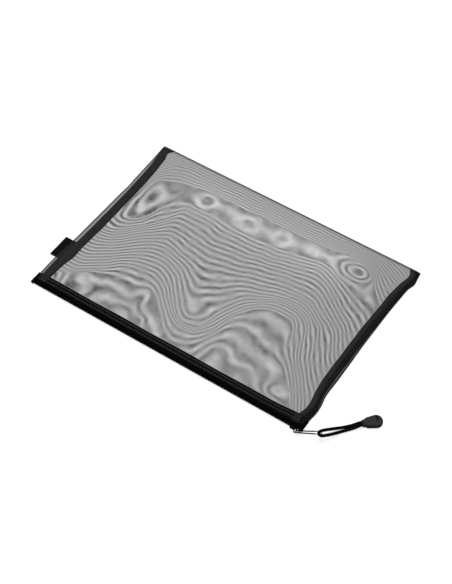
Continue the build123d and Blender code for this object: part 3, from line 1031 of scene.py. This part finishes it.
@dataclass
class Pouch:
    """Mesh body: one sheet folded at the far edge, pinched at both sides and open along the zip."""

    half_height: float = 2.35
    seam_allowances: float = 31.5
    step: float = 2.0
    edge_columns: int = 10
    fold_rows: int = 13
    bow_start: float = 120.0
    free_hem: Pair = (12.0, 45.0)
    free_fold: Pair = (4.0, 30.0)
    free_side: Pair = (6.0, 30.0)
    mean_sag: float = 0.45
    crossed_sag: float = 0.25
    crossed_waves: tuple[Wave, Wave] = (
        Wave(170 / TURN, phase=0.1 * TURN), Wave(along_y=130 / TURN, phase=0.5),
    )
    slant_sag: float = 0.2
    slant_wave: Wave = Wave(95 / TURN, 95 / 0.6 / TURN)
    tape_edge: Pair = (-107.5, -106.5)
    binding_edge: Pair = (1.0, -0.5)

    def stations(self) -> Array:
        """Spread the grid's columns evenly, and by a sine where the sides are pinched.

        Returns:
            X of each column.
        """
        inside = HALF_LENGTH - SHOULDER
        middle = np.linspace(-inside, inside, int(2 * inside / self.step))
        edge = inside + SHOULDER * np.sin(np.linspace(0.0, math.pi / 2, self.edge_columns))[1:]
        return np.concatenate([-edge[::-1], middle, edge])

    def section(self) -> Array:
        """Draw the line across the wallet: front panel, half round fold, back panel.

        Returns:
            Y of each point and its height from the middle.
        """
        radius = self.half_height
        centre_y = FOLD_Y - radius
        flat = np.linspace(HEM_Y, centre_y, int((centre_y - HEM_Y) / self.step))
        angle = half_turn(self.fold_rows)[1:-1]
        fold = stacked(centre_y + radius * np.cos(angle), radius * np.sin(angle))
        return np.concatenate([stacked(flat, radius), fold, stacked(flat[::-1], -radius)])

    def follow_edges(self, x: Array, y: Array) -> Array:
        """Move the outer columns sideways, by a smooth step, so that the sheet ends on the two side lines.

        Args:
            x: X of each point of a straight sheet.
            y: Y of each point.

        Returns:
            X of each point of the bowed sheet.
        """
        left = (WALLET_EDGE[Side.LEFT].at(y) + HALF_LENGTH) * smoothstep(-x, self.bow_start, HALF_LENGTH)
        right = (WALLET_EDGE[Side.RIGHT].at(y) - HALF_LENGTH) * smoothstep(x, self.bow_start, HALF_LENGTH)
        return x + left + right

    def sag(self, x: Array, y: Array) -> Array:
        """Slack of the front panel: long sine waves that die out towards the zip, the fold and the sides.

        Args:
            x: X of each point.
            y: Y of each point.

        Returns:
            Height to add at each point.
        """
        free = smoothstep(y - HEM_Y, *self.free_hem) * smoothstep(FOLD_Y - y, *self.free_fold)
        free = free * smoothstep(HALF_LENGTH - np.abs(x), *self.free_side)
        crossed = self.crossed_waves[0].at(x, y) * self.crossed_waves[1].at(x, y)
        waves = self.crossed_sag * crossed + self.slant_sag * self.slant_wave.at(x, y)
        return free * (waves - self.mean_sag)

    def see_through(self, x: Array, y: Array) -> Array:
        """Mark where both layers are seen together, by smooth steps at the tape and the bindings.

        Args:
            x: X of each point.
            y: Y of each point.

        Returns:
            1 in the open, 0 over the zip tape and the bindings.
        """
        seen = smoothstep(y, *self.tape_edge)
        for side in Side:
            seen = seen * smoothstep(past_line(BINDING_FOLD, side, x, y), *self.binding_edge)
        return seen

    def build(self) -> Piece:
        """Make the folded sheet with its fringe landscape.

        Returns:
            The mesh body.
        """
        section = self.section()
        run = run_along(section)
        flat_x, y = np.meshgrid(self.stations()[::-1], section[:, 0])
        height = section[:, 1:]
        x = self.follow_edges(flat_x, y)
        front = height >= self.half_height
        z = MIDDLE_Z + height * side_pinch(x, y) + np.where(front, self.sag(x, y), 0.0)
        fringes = Fringes()
        count = fringes.count(x, y)
        # Painted fringes: light and dark bands set in the front layer's cover, standing in for the moiré of
        # both layers
        depth = front * self.see_through(x, y) * fringes.clearness(x, y, count)
        marks = {"fringe": count, "fringe_depth": depth} | MeshTone().marks(flat_x, x, y)
        points = stacked(x, y, z).reshape(-1, 3)
        weave = stacked(flat_x, run[:, None]).reshape(-1, 2)
        piece = Surface("mesh_pouch", points, grid_quads(*x.shape), weave, marks).to_object(SHEER)
        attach(piece, "wallet")
        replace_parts(piece, "mesh_body")
        return piece


@dataclass
class SeamBinding:
    """Binding tape folded over the turned-in edges of one side seam."""

    side: Side
    far_y: float = FOLD_Y - 1.2
    half_gap: float = 0.875
    thickness: float = 0.35
    outer_wander: Pair = (0.1, 4.7)
    fold_wander: Pair = (0.12, 4.1)
    painted_shade_from: Pair = (4.0, 6.5)
    painted_shade_loss: float = 0.65
    rows: int = 180
    flat_columns: int = 9
    fold_columns: int = 11

    def build(self) -> Piece:
        """Carry the folded section along the seam, with the slight wander of a sewn tape.

        Returns:
            The binding.
        """
        y = np.linspace(HEM_Y, self.far_y, self.rows)[:, None]
        flat = np.linspace(0.0, 1.0, self.flat_columns)
        none, full = np.zeros(flat.size), np.ones(flat.size)
        angle = half_turn(self.fold_columns)[1:-1]
        reach = np.concatenate([flat, np.ones(angle.size), flat[::-1]])
        bulge = np.concatenate([none, np.cos(angle), none]) * self.half_gap
        lift = np.concatenate([full, np.sin(angle), -full]) * self.half_gap
        inset = self.side.value * (self.half_gap + self.thickness / 2)
        outer = BINDING_OUTER[self.side].at(y) + wander(y, *self.outer_wander)
        fold = BINDING_FOLD[self.side].at(y) + inset + wander(y, *self.fold_wander)
        x = outer + (fold - outer) * reach - self.side.value * bulge
        middle = stacked(x, y, MIDDLE_Z + lift * side_pinch(x, y))
        if self.side is Side.LEFT:
            middle = middle[::-1]
        weave = stacked(middle[..., 1], run_along(stacked(x[0], lift)))
        # Painted shade: the right binding darker away from its fold, towards the side edge
        shade = np.ones_like(x)
        if self.side is Side.RIGHT:
            shade = shade - self.painted_shade_loss * smoothstep(np.abs(x - fold), *self.painted_shade_from)
        name = f"{self.side.label}_binding"
        piece = Surface.cloth(name, middle, self.thickness, weave, shade=shade).to_object(BINDING)
        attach(piece, "wallet")
        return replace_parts(piece, f"{self.side.label}_seam_tape")


@dataclass
class ZipTape:
    """One zip tape: flat between panel and pocket, bent down over the front edge."""

    row: Row
    flat_height: float = 1.9
    edge_height: float = 0.45
    inner_y: float = -107.1
    inner_rise: float = 1.8
    inner_wander: Pair = (0.2, 13.0)
    end_inner_y: float = -115.9
    trimmed_x: Pair = (166.6, 168.2)
    bend_y: float = -119.0
    bend_radius: float = 1.4
    bend_stretch: float = 1.5
    left_x: float = -169.5
    right_x: float = 171.5
    thickness: float = 0.5
    end_length: float = 3.0
    end_gap: float = 1.0
    end_columns: int = 6
    middle_columns: int = 170
    flat_rows: int = 10
    bend_rows: int = 9
    drop_rows: int = 3

    def stations(self) -> Array:
        """Spread the grid's columns evenly, and closer together at both trimmed ends.

        Returns:
            X of each column, as rows by 1.
        """
        ends = np.linspace(0.0, self.end_length, self.end_columns)
        inside = self.end_length + self.end_gap
        middle = np.linspace(self.left_x + inside, self.right_x - inside, self.middle_columns)
        return np.concatenate([self.left_x + ends, middle, self.right_x - ends[::-1]])[:, None]

    def build(self) -> Piece:
        """Carry the bent section along the zip and trim the inner corners at both ends.

        Returns:
            The tape.
        """
        x = self.stations()
        inner = self.inner_y + self.inner_rise * smoothstep(x, *TAPE_RISE_X) + wander(x, *self.inner_wander)
        inner = inner + (self.end_inner_y - inner) * smoothstep(np.abs(x), *self.trimmed_x)
        flat = np.linspace(0.0, 1.0, self.flat_rows)
        angle = np.linspace(0.0, math.pi / 2, self.bend_rows)[1:]
        drop = np.linspace(self.flat_height - self.bend_radius, self.edge_height, self.drop_rows)[1:]
        bend = self.bend_y - self.bend_radius * np.concatenate([np.sin(angle), np.ones(drop.size)])
        y_flat = inner + (self.bend_y - inner) * flat
        y = np.concatenate([y_flat, np.broadcast_to(bend, (x.size, bend.size))], axis=1)
        bent = self.flat_height - self.bend_radius * (1 - np.cos(angle))
        height = np.concatenate([np.full(flat.size, self.flat_height), bent, drop])
        middle = stacked(x, y, MIDDLE_Z + self.row.value * height)
        weave = stacked(x, self.bend_y - y + self.bend_stretch * (self.flat_height - height))
        if self.row is Row.UPPER:
            middle, weave = middle[::-1], weave[::-1]
        name = f"zip_tape_{self.row.label}"
        piece = Surface.cloth(name, middle, self.thickness, weave).to_object(ZIP_TAPE)
        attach(piece, "wallet")
        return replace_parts(piece, f"{self.row.label}_zip_tape")


@dataclass
class ZipEnd:
    """End of the zip tapes, wrapped round the corner of the wallet and sewn down."""

    side: Side
    edge_x: float
    near_y: float
    far_y: float = -108.0
    reach: float = 2.8
    half_height: float = 2.3
    thickness: float = 0.3
    far_taper: float = 0.3
    near_taper: float = 0.45
    taper_length: float = 2.5
    rows: int = 24
    columns: int = 17

    def build(self) -> Piece:
        """Carry a half oval section round the edge along Y.

        Returns:
            The wrapped end.
        """
        y = np.linspace(self.near_y, self.far_y, self.rows)[:, None]
        angle = half_turn(self.columns)
        far = self.far_taper * smoothstep(y, self.far_y - self.taper_length, self.far_y)
        near = self.near_taper * smoothstep(y, self.near_y + self.taper_length, self.near_y)
        reach = self.reach * (1.0 - far - near)
        x = self.edge_x - self.side.value * (reach - reach * np.cos(angle))
        middle = stacked(x, y, MIDDLE_Z + self.half_height * np.sin(angle))
        if self.side is Side.RIGHT:
            middle = middle[::-1]
        weave = stacked(middle[..., 1], self.half_height * angle)
        name = f"{self.side.label}_zip_end"
        piece = Surface.cloth(name, middle, self.thickness, weave).to_object(ZIP_TAPE)
        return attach(piece, "wallet")


@dataclass
class CoilRow:
    """One row of the zip: a nylon coil with its filler cord."""

    row: Row
    start_x: float = -166.5
    end_x: float = 165.6
    pitch: float = 1.2
    centre_y: float = -121.3
    half_depth: float = 0.37
    centre_height: float = 0.45
    half_reach: float = 0.67
    wire_radius: float = 0.22
    head_swell: float = 0.2
    head_sharpness: int = 6
    filler_radius: float = 0.12
    filler_height: float = 0.8
    filler_wander: Pair = (0.03, 3.0)
    filler_rows: int = 60
    points_per_turn: int = 14
    sides: int = 6
    open_share: float = 0.3

    def coil(self) -> tuple[Array, Array]:
        """Wind an oval coil along the tape edge, swelled at its heads.

        Returns:
            Points and faces of the coil.
        """
        shift = 0.0 if self.row is Row.UPPER else self.pitch / 2
        turns = (self.end_x - self.start_x - self.pitch) / self.pitch
        angle = np.linspace(0.0, TURN * turns, int(turns * self.points_per_turn))
        x = self.start_x + shift + self.wire_radius + self.pitch * angle / TURN
        y = self.centre_y + self.half_depth * np.sin(angle)
        height = self.centre_height + self.half_reach * np.cos(angle)
        head = np.clip(-np.cos(angle), 0.0, 1.0) ** self.head_sharpness
        radius = self.wire_radius * (1.0 + self.head_swell * head)
        return rod(stacked(x, y, MIDDLE_Z + self.row.value * height), X_AXIS, radius[:, None], self.sides)

    def filler(self) -> tuple[Array, Array]:
        """Lay the filler cord through the coil.

        Returns:
            Points and faces of the cord.
        """
        x = np.linspace(self.start_x, self.end_x, self.filler_rows)
        z = MIDDLE_Z + self.row.value * self.filler_height
        path = stacked(x, self.centre_y + wander(x, *self.filler_wander), z)
        return rod(path, Z_AXIS, self.filler_radius, self.sides)

    def build(self) -> list[Piece]:
        """Make both pieces, in place of the zip teeth and the coil cord.

        Returns:
            The coil and its filler.
        """
        made = []
        for name, slot, finish, shape in (
            ("coil", "zip_teeth", COIL, self.coil()),
            ("filler", "coil_cord", FILLER, self.filler()),
        ):
            piece = Surface(f"{self.row.label}_{name}", *shape).to_object(finish)
            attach(piece, "wallet")
            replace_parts(piece, f"{self.row.label}_{slot}")
            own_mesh(piece)
            made.append(piece)
        return made


@dataclass
class StitchRow:
    """A row of lockstitches: short threads that dip into the cloth at both ends."""

    start: Triple
    end: Triple
    outward: float = 1.0
    pitch: float = 2.6
    length: float = 2.1
    radius: float = 0.16
    dip: float = 0.2
    rise: float = 0.0
    rings: int = 7
    sides: int = 6

    def surface(self) -> tuple[Array, Array]:
        """Lay a stitch at every pitch: from its middle it bows by 1 - 2t^4 and thins by 1 - t^6 / 2.

        Returns:
            Points and faces of all stitches.
        """
        start, end = np.array(self.start), np.array(self.end)
        run = float(np.linalg.norm(end - start))
        along = (end - start) / run
        count = int(run / self.pitch)
        share = np.linspace(-1.0, 1.0, self.rings)[:, None]
        bow = self.outward * self.dip * (1.0 - 2.0 * share**4)
        path = along * share * self.length / 2 + Z_AXIS * bow
        thin = self.radius * (1.0 - 0.5 * share**6)
        points, faces = rod(path, np.cross(along, Z_AXIS), thin, self.sides)
        places = start + along * self.pitch * (np.arange(count)[:, None] + 0.5)
        places[:, 1] += self.rise * smoothstep(places[:, 0], *TAPE_RISE_X)
        first = np.arange(count)[:, None, None] * len(points)
        return (points + places[:, None, :]).reshape(-1, 3), (faces + first).reshape(-1, 4)


@dataclass
class Stitching:
    """All rows of sewing thread on one seam, as one piece."""

    name: str
    slot: str
    rows: list[StitchRow]

    def build(self) -> Piece:
        """Join the rows into one piece.

        Returns:
            The stitching.
        """
        made = [row.surface() for row in self.rows]
        before = np.cumsum([0] + [len(points) for points, _ in made[:-1]])
        points = np.concatenate([points for points, _ in made])
        faces = np.concatenate([faces + first for (_, faces), first in zip(made, before)])
        piece = Surface(self.name, points, faces).to_object(THREAD)
        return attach(piece, "wallet")


@dataclass
class RibbonTab:
    """Side tab: a ribbon folded in half, its ends sewn into the left seam."""

    centre_y: float = -66.0
    width: float = 28.6
    inner_x: float = -157.0
    seam_x: float = -169.6
    hinge_end_x: float = -171.9
    outer_x: float = -176.86
    sewn_half_gap: float = 0.16
    loop_half_gap: float = 0.3
    opening_length: float = 2.5
    thickness: float = 0.28
    rib_height: float = 0.035
    rib_pitch: float = 1.2
    rows: int = 136
    sewn_columns: int = 7
    loop_columns: int = 13
    fold_columns: int = 11

    def build(self) -> Piece:
        """Carry the folded line of the ribbon across its width, with its cross ribs as a fine ripple.

        Returns:
            The tab.
        """
        bend_x = self.outer_x + self.loop_half_gap
        sewn = np.linspace(self.inner_x, self.seam_x, self.sewn_columns)
        line = np.concatenate([sewn, np.linspace(self.seam_x, bend_x, self.loop_columns)[1:]])
        opened = smoothstep(line, self.seam_x, self.seam_x - self.opening_length)
        gap = self.sewn_half_gap + (self.loop_half_gap - self.sewn_half_gap) * opened
        angle = half_turn(self.fold_columns)[1:-1]
        x = np.concatenate([line, bend_x - self.loop_half_gap * np.cos(angle), line[::-1]])
        z = np.concatenate([gap, self.loop_half_gap * np.sin(angle), -gap[::-1]])
        y = np.linspace(-self.width / 2, self.width / 2, self.rows)[:, None]
        swell = 1.0 + self.rib_height * np.sin(TURN * y / self.rib_pitch) / self.loop_half_gap
        middle = stacked(x, self.centre_y + y, MIDDLE_Z + z * swell)
        weave = stacked(middle[..., 1], run_along(stacked(x, z)))
        piece = Surface.cloth("ribbon_tab", middle, self.thickness, weave).to_object(RIBBON)
        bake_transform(piece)
        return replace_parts(piece, "side_tab", "tab_tail")


@dataclass
class PullLoop:
    """Cord loop of the pull, from the grip through the link and back."""

    diameter: float = 3.5
    length: float = 98.4
    route: tuple[Triple, ...] = (
        (216.54, -78.99, 2.75), (214.30, -81.16, 2.60), (212.20, -84.30, 2.20), (208.60, -88.80, 1.90),
        (203.20, -94.90, 2.15), (197.90, -101.10, 4.00), (194.00, -107.00, 6.60), (191.30, -111.40, 8.50),
        (189.28, -114.91, 9.15), (189.71, -117.15, 9.20), (191.61, -118.42, 9.30), (193.85, -117.99, 9.25),
        (196.20, -115.40, 8.50), (199.20, -110.40, 6.40), (202.20, -104.50, 3.90), (205.90, -98.00, 2.20),
        (210.80, -91.90, 1.95), (215.20, -86.55, 3.00), (216.73, -83.67, 3.60), (218.97, -81.50, 3.75),
    )
    bend_start: Triple = (192.5, -115.1, 9.8)
    bend_heading: Triple = (25.4, 35.0, 0.0)
    bend_length: float = 10.0
    carriers: int = 8
    lay_length: float = 4.5
    relief: float = 0.16
    sides: int = 32
    resolution: int = 20

    def centre_line(self) -> Array:
        """Smooth line of the route, read from a spline with the route's points as control points.

        Returns:
            Points of the line in millimetres.
        """
        curve = bpy.data.curves.new("pull_line", "CURVE")
        curve.dimensions = "3D"
        spline = curve.splines.new("NURBS")
        spline.points.add(len(self.route) - 1)
        controls = np.column_stack([self.route, np.ones(len(self.route))])
        spline.points.foreach_set("co", controls.astype(np.float32).ravel())
        spline.order_u = 3
        spline.use_endpoint_u = True
        spline.resolution_u = self.resolution
        holder = add_object("pull_line", curve)
        line = bpy.data.meshes.new_from_object(holder)
        points = np.empty(len(line.vertices) * 3)
        line.vertices.foreach_get("co", points)
        bpy.data.objects.remove(holder)
        bpy.data.curves.remove(curve)
        bpy.data.meshes.remove(line)
        return points.reshape(-1, 3)

    def build(self) -> Piece:
        """Braid the cord: strands of both hands cross over and under, as ridges on a tube.

        Returns:
            The cord.
        """
        line = self.centre_line()
        around = self.carriers / 2 * np.linspace(0.0, TURN, self.sides, endpoint=False)
        turned = TURN * run_along(line)[:, None] / self.lay_length
        right, left = around + turned, around - turned
        over = 0.5 + 0.5 * np.sin(right) * np.sin(left)
        strand = np.maximum(np.abs(np.cos(right / 2)) * over, np.abs(np.cos(left / 2)) * (1 - over))
        radius = self.diameter / 2 - self.relief * (1.0 - strand)
        points, faces = rod(line, Z_AXIS, radius, self.sides)
        marks = {"strand": np.concatenate([strand.ravel(), [0.0, 0.0]])}
        piece = Surface("pull_loop", points, faces, marks=marks).to_object(CORD)
        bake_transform(piece)
        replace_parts(piece, "pull_cord")
        return piece


@dataclass
class PullLink:
    """Wire loop of the pull: narrow and level at the bail, tall at the cord, thinner at both ends."""

    eye: Triple = (167.0, -125.2, 3.0)
    tip: Triple = (192.2, -115.5, 9.8)
    eye_back: float = 1.05
    eye_half_width: float = 0.95
    tip_half_height: float = 2.55
    corner: float = 0.8
    end_radius: float = 0.45
    leg_radius: float = 0.68
    eye_swell: Pair = (0.5, 3.0)
    tip_swell: Pair = (24.0, 20.0)
    leg_span: Pair = (0.1, 0.9)
    bend_rows: int = 9
    sides: int = 16

    def build(self) -> Piece:
        """Carry a ring round the loop, each corner a parabola between points on both its sides.

        Returns:
            The link.
        """
        eye, tip = np.array(self.eye), np.array(self.tip)
        along = unit(tip - eye)
        across = unit(np.cross(Z_AXIS, along))
        up = np.cross(along, across)
        back = eye - along * self.eye_back
        reach, rise = across * self.eye_half_width, up * self.tip_half_height
        route = np.stack([tip, tip + rise, back + reach, back - reach, tip - rise, tip])
        turn = route[1:-1]
        start = (turn + unit(route[:-2] - turn) * self.corner)[:, None, :]
        end = (turn + unit(route[2:] - turn) * self.corner)[:, None, :]
        share = np.linspace(0.0, 1.0, self.bend_rows)[:, None]
        bends = start * (1 - share) ** 2 + 2 * turn[:, None, :] * share * (1 - share) + end * share**2
        part = np.linspace(*self.leg_span, self.bend_rows)[:, None]
        upper, lower = (bends[i, -1] + (bends[i + 1, 0] - bends[i, -1]) * part for i in (0, 2))
        path = np.concatenate([route[:1], bends[0], upper, bends[1], bends[2], lower, bends[3], route[-1:]])
        place = (path - eye) @ along
        swell = smoothstep(place, *self.eye_swell) * smoothstep(place, *self.tip_swell)
        radius = self.end_radius + (self.leg_radius - self.end_radius) * swell
        shape = rod(path, along + across + up, radius[:, None], self.sides)
        piece = Surface("link_wire", *shape).to_object(DARK_WIRE)
        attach(piece, "link")
        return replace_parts(piece, "pull_link")


@dataclass
class Hardware:
    """Rigid pieces that keep their own solids and get their finish here."""

    finishes: dict[str, Finish]

    def dress(self) -> None:
        """Give each solid its finish."""
        for name, finish in self.finishes.items():
            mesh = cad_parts[name].data
            mesh.materials.clear()
            mesh.materials.append(finish.material())
            LOG.info("%s gets %s", name, finish.name)


@dataclass
class Studio:
    """White table, soft light and the camera; lengths in metres, the camera's place in millimetres."""

    eye: Triple = (578.875, -814.116, 1258.324)
    azimuth: float = 35.4647
    elevation: float = 52.1077
    roll: float = -1.4487
    lens: float = 92.466
    sensor: float = 36.0
    floor_half: float = 3.0
    floor_level: float = 0.3
    glow: Pair = (0.74, 0.9)
    glow_distance: Pair = (0.3, 1.5)
    sky_level: float = 0.35
    lamp_power: float = 26.0
    lamp_size: float = 1.2
    lamp_place: Triple = (0.0, 0.1, 1.5)

    def build(self) -> None:
        """Make the floor, the world, the lamp and the camera."""
        self.build_floor()
        self.build_light()
        self.build_camera()

    def seen(self, nodes: Nodes) -> Socket:
        """Find the rays that look at the surroundings: from the camera, a mirror or glass.

        Args:
            nodes: Nodes of the floor or the sky.

        Returns:
            1 for such a ray, 0 for the others.
        """
        path = nodes.add("ShaderNodeLightPath")
        mirrored = nodes.calc("MAXIMUM", path["Is Camera Ray"], path["Is Glossy Ray"])
        return nodes.calc("MAXIMUM", mirrored, path["Is Transmission Ray"])

    def build_floor(self) -> None:
        """Lay a large white floor that glows for the camera and keeps the shadow."""
        half = self.floor_half
        corners = [(-half, -half, 0), (half, -half, 0), (half, half, 0), (-half, half, 0)]
        mesh = bpy.data.meshes.new("floor")
        mesh.from_pydata(corners, [], [(0, 1, 2, 3)])
        material = bpy.data.materials.new("white_table")
        material.use_nodes = True
        nodes = Nodes(material.node_tree)
        shader = nodes.tree.nodes["Principled BSDF"]
        shader.inputs["Base Color"].default_value = grey(self.floor_level)
        shader.inputs["Roughness"].default_value = 1.0
        shader.inputs["Specular IOR Level"].default_value = 0.0
        shader.inputs["Emission Color"].default_value = grey(1.0)
        glow = nodes.ramp(nodes.vector("LENGTH", nodes.place())["Value"], self.glow_distance, self.glow)
        nodes.join(shader.inputs["Emission Strength"], nodes.calc("MULTIPLY", self.seen(nodes), glow))
        mesh.materials.append(material)
        add_object("floor", mesh)

    def build_light(self) -> None:
        """Light the object by a pale sky and one large soft lamp overhead."""
        world = bpy.data.worlds.new("studio")
        world.use_nodes = True
        nodes = Nodes(world.node_tree)
        sky = nodes.tree.nodes["Background"]
        sky.inputs["Color"].default_value = grey(1.0)
        strength = nodes.calc("MULTIPLY_ADD", self.seen(nodes), 1.0 - self.sky_level, self.sky_level)
        nodes.join(sky.inputs["Strength"], strength)
        bpy.context.scene.world = world
        lamp = bpy.data.lights.new("soft_lamp", "AREA")
        lamp.energy = self.lamp_power
        lamp.size = self.lamp_size
        add_object("soft_lamp", lamp).matrix_world = Matrix.Translation(self.lamp_place)

    def build_camera(self) -> None:
        """Set the camera at the viewing angle."""
        azimuth, elevation, roll = (math.radians(a) for a in (self.azimuth, self.elevation, self.roll))
        level = np.array([math.cos(azimuth), math.sin(azimuth), 0.0])
        back = np.cross(level, Z_AXIS) * math.cos(elevation) + Z_AXIS * math.sin(elevation)
        upright = np.cross(back, level)
        pose = np.eye(4)
        pose[:3, 0] = level * math.cos(roll) + upright * math.sin(roll)
        pose[:3, 1] = upright * math.cos(roll) - level * math.sin(roll)
        pose[:3, 2] = back
        pose[:3, 3] = np.array(self.eye) * MM
        camera = bpy.data.cameras.new("camera")
        camera.lens = self.lens
        camera.sensor_width = self.sensor
        holder = add_object("camera", camera)
        holder.matrix_world = Matrix(pose.tolist())
        bpy.context.scene.camera = holder


def seam_stitching() -> list[Stitching]:
    """Rows of stitches along the zip and on both bindings.

    Returns:
        One group of rows for each seam.
    """
    left, right = -166.0, 166.0
    near, far = -112.0, 113.0
    top, bottom, on_binding = 4.93, 0.07, 3.55
    top_rows, bottom_rows = (-114.2, -110.2), (-114.9, -110.2)
    binding_rows = {Side.LEFT: -160.6, Side.RIGHT: 164.6}
    zip_rows = [StitchRow((left, y, top), (right, y, top), rise=1.5) for y in top_rows]
    zip_rows += [
        StitchRow((left, y, bottom), (right, y, bottom), outward=-1.0, dip=0.06, radius=0.07)
        for y in bottom_rows
    ]
    seams = [Stitching("zip_stitches", "zip_tape", zip_rows)]
    for side, x in binding_rows.items():
        row = StitchRow((x, near, on_binding), (x, far, on_binding))
        seams.append(Stitching(f"{side.label}_stitches", "binding", [row]))
    return seams


def main() -> None:
    """Build every sub-assembly in order and report the pieces."""
    logging.basicConfig(level=logging.INFO, format="%(name)s: %(message)s")
    bpy.context.scene.view_settings.view_transform = "Standard"
    Studio().build()
    made = [PullLoop().build(), PullLink().build()]
    made += [ZipTape(row).build() for row in Row]
    made.append(Pouch().build())
    made += [SeamBinding(side).build() for side in Side]
    made.append(ZipEnd(Side.LEFT, edge_x=-170.0, near_y=-121.8).build())
    made.append(ZipEnd(Side.RIGHT, edge_x=172.6, near_y=-120.8).build())
    for row in Row:
        made += CoilRow(row).build()
    made += [seam.build() for seam in seam_stitching()]
    made.append(RibbonTab().build())
    Hardware({
        "left_zip_stop": STOP, "right_zip_stops": STOP, "slider_body": ENAMEL, "slider_bail": BRIGHT_WIRE,
        "pull_grip": GRIP,
    }).dress()
    for piece in made:
        LOG.info("%s: %d faces", piece.name, len(piece.data.polygons))


if __name__ == "__main__":
    main()
